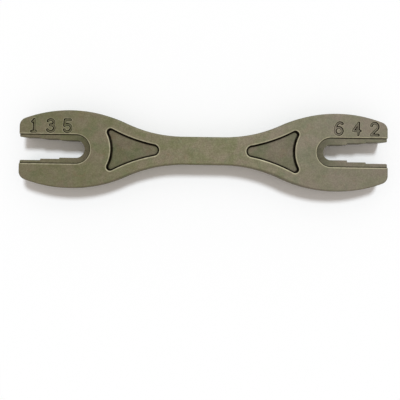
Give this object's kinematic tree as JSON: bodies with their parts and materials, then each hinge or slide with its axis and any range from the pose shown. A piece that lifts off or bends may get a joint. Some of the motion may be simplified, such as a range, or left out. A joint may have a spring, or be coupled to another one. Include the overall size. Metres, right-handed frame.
{
  "type": "spoke wrench",
  "caption": "Flat double-ended spoke wrench with stepped open jaws at both ends, recessed triangular pockets, a waisted handle and engraved jaw digits.",
  "frame": {"origin": "middle of the face that the wrench rests on", "axes": "+X along the length towards the fork with jaws 2, 4 and 6, +Y across the heads towards the lands with the digits, +Z through the thickness towards the front face with the digits"},
  "size_m": [0.103, 0.022, 0.006],
  "materials": {
    "steel": "satin olive-grey, plated or blued over a forged and blasted surface, lightly worn at the edges"
  },
  "bodies": {
    "root": {"wrench_body": "steel"}
  },
  "joints": []
}
